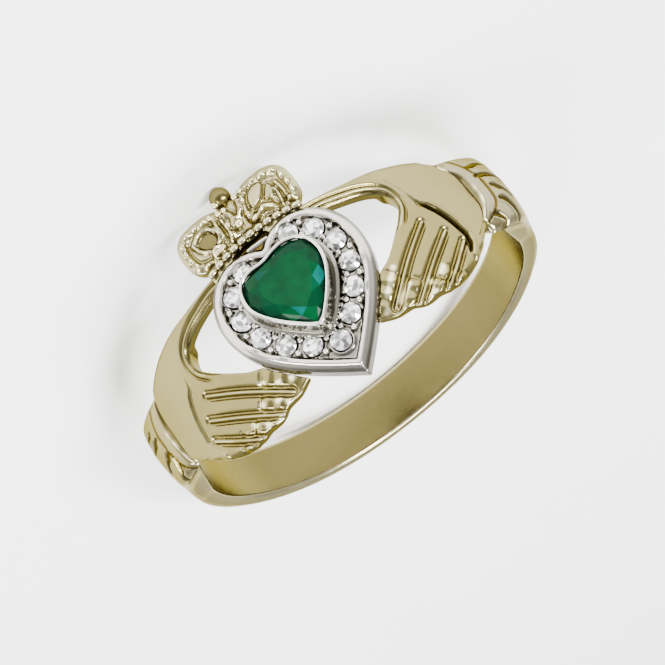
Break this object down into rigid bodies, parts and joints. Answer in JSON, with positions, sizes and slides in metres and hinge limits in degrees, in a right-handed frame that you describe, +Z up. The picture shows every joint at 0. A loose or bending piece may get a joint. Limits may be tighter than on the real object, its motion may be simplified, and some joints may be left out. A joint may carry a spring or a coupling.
{
  "type": "claddagh ring",
  "caption": "Claddagh finger ring: hands hold a crowned heart, with a pavé halo of small clear stones round a heart-cut green stone in a tall bezel.",
  "frame": {"origin": "middle of the finger hole", "axes": "+Z up from the surface the ring lies on; the head, with heart and crown, faces -Y and the crown points down; +X runs across the head, to the left of a viewer who faces the heart with the crown on top"},
  "size_m": [0.0192, 0.0212, 0.0101],
  "materials": {
    "yellow_gold": "polished 9 ct yellow gold",
    "white_gold": "polished white gold, rhodium plated",
    "green_stone": "faceted green stone",
    "clear_stone": "faceted clear stone"
  },
  "bodies": {
    "root": {"band": "yellow_gold", "crown": "yellow_gold", "heart_setting": "white_gold", "heart_stone": "green_stone", "halo_stone_01": "clear_stone", "halo_stone_02": "clear_stone", "halo_stone_03": "clear_stone", "halo_stone_04": "clear_stone", "halo_stone_05": "clear_stone", "halo_stone_06": "clear_stone", "halo_stone_07": "clear_stone", "halo_stone_08": "clear_stone", "halo_stone_09": "clear_stone", "halo_stone_10": "clear_stone", "halo_stone_11": "clear_stone", "halo_stone_12": "clear_stone", "halo_stone_13": "clear_stone"}
  },
  "joints": []
}
